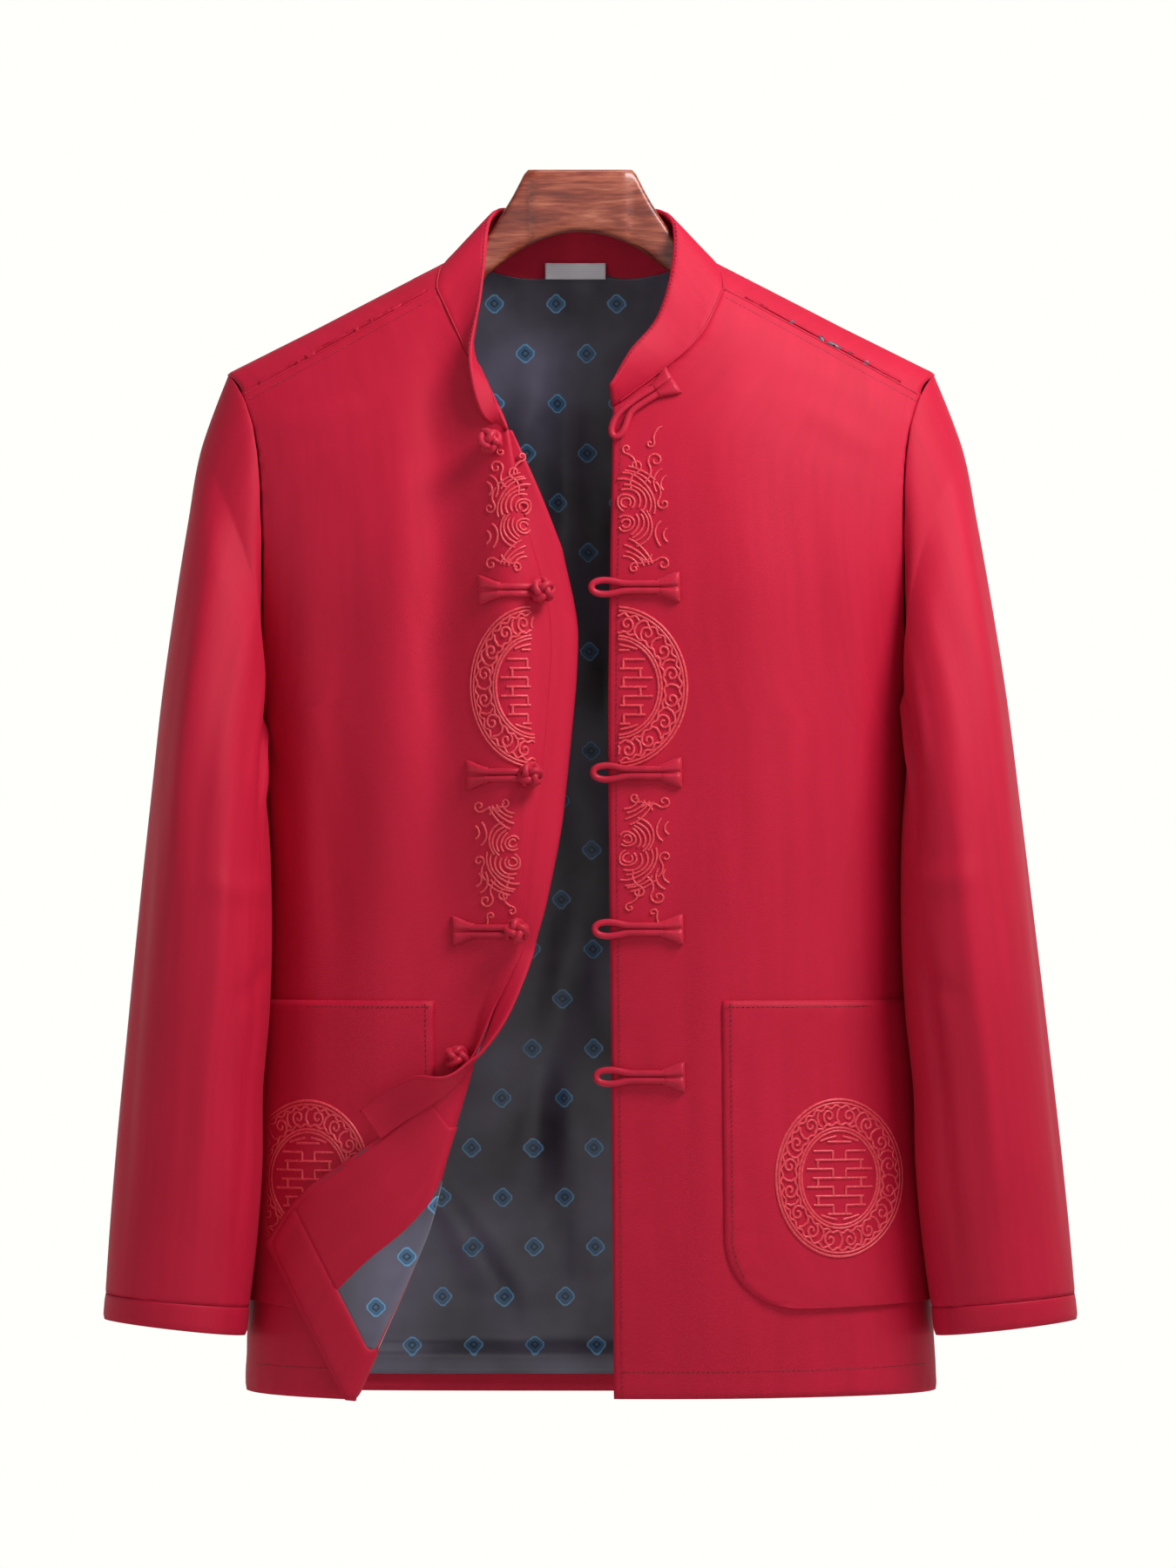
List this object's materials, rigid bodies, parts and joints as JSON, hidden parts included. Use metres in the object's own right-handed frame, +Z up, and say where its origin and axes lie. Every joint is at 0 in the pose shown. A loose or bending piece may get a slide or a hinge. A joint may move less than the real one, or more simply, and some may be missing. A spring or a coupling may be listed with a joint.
{
  "type": "tang jacket on a hanger",
  "caption": "Open-fronted jacket with a stand collar, cloth-cord frog fastenings, patch pockets and straight sleeves, on a plain wooden hanger.",
  "frame": {"origin": "middle of the flat top of the hanger's block, where a hook or a rail bracket holds it", "axes": "+Z up, +X to the loop side of the front (the wearer's left), the front faces -Y"},
  "size_m": [0.623, 0.206, 0.789],
  "materials": {
    "red_cloth": "matt red suiting with a soft sheen",
    "lining_satin": "charcoal satin",
    "label_woven": "blank white woven",
    "red_cord": "rolled red cloth cord",
    "hanger_wood": "lacquered mahogany colour"
  },
  "bodies": {
    "root": {"back_lining": "lining_satin", "back_panel": "red_cloth", "collar": "red_cloth", "corner_facing": "red_cloth", "corner_hem_band": "red_cloth", "corner_lining": "lining_satin", "hanger": "hanger_wood", "knot_ball_1": "red_cord", "knot_ball_2": "red_cord", "knot_ball_3": "red_cord", "knot_ball_4": "red_cord", "knot_ball_5": "red_cord", "knot_bar_2": "red_cord", "knot_bar_3": "red_cord", "knot_bar_4": "red_cord", "knot_tab_2": "red_cord", "knot_tab_3": "red_cord", "knot_tab_4": "red_cord", "label": "label_woven", "left_cuff": "red_cloth", "left_front": "red_cloth", "left_pocket": "red_cloth", "left_sleeve": "red_cloth", "loop_cord_1": "red_cord", "loop_cord_2": "red_cord", "loop_cord_3": "red_cord", "loop_cord_4": "red_cord", "loop_cord_5": "red_cord", "loop_tab_1": "red_cord", "loop_tab_2": "red_cord", "loop_tab_3": "red_cord", "loop_tab_4": "red_cord", "loop_tab_5": "red_cord", "right_cuff": "red_cloth", "right_front": "red_cloth", "right_pocket": "red_cloth", "right_sleeve": "red_cloth", "underlap": "red_cloth"}
  },
  "joints": []
}
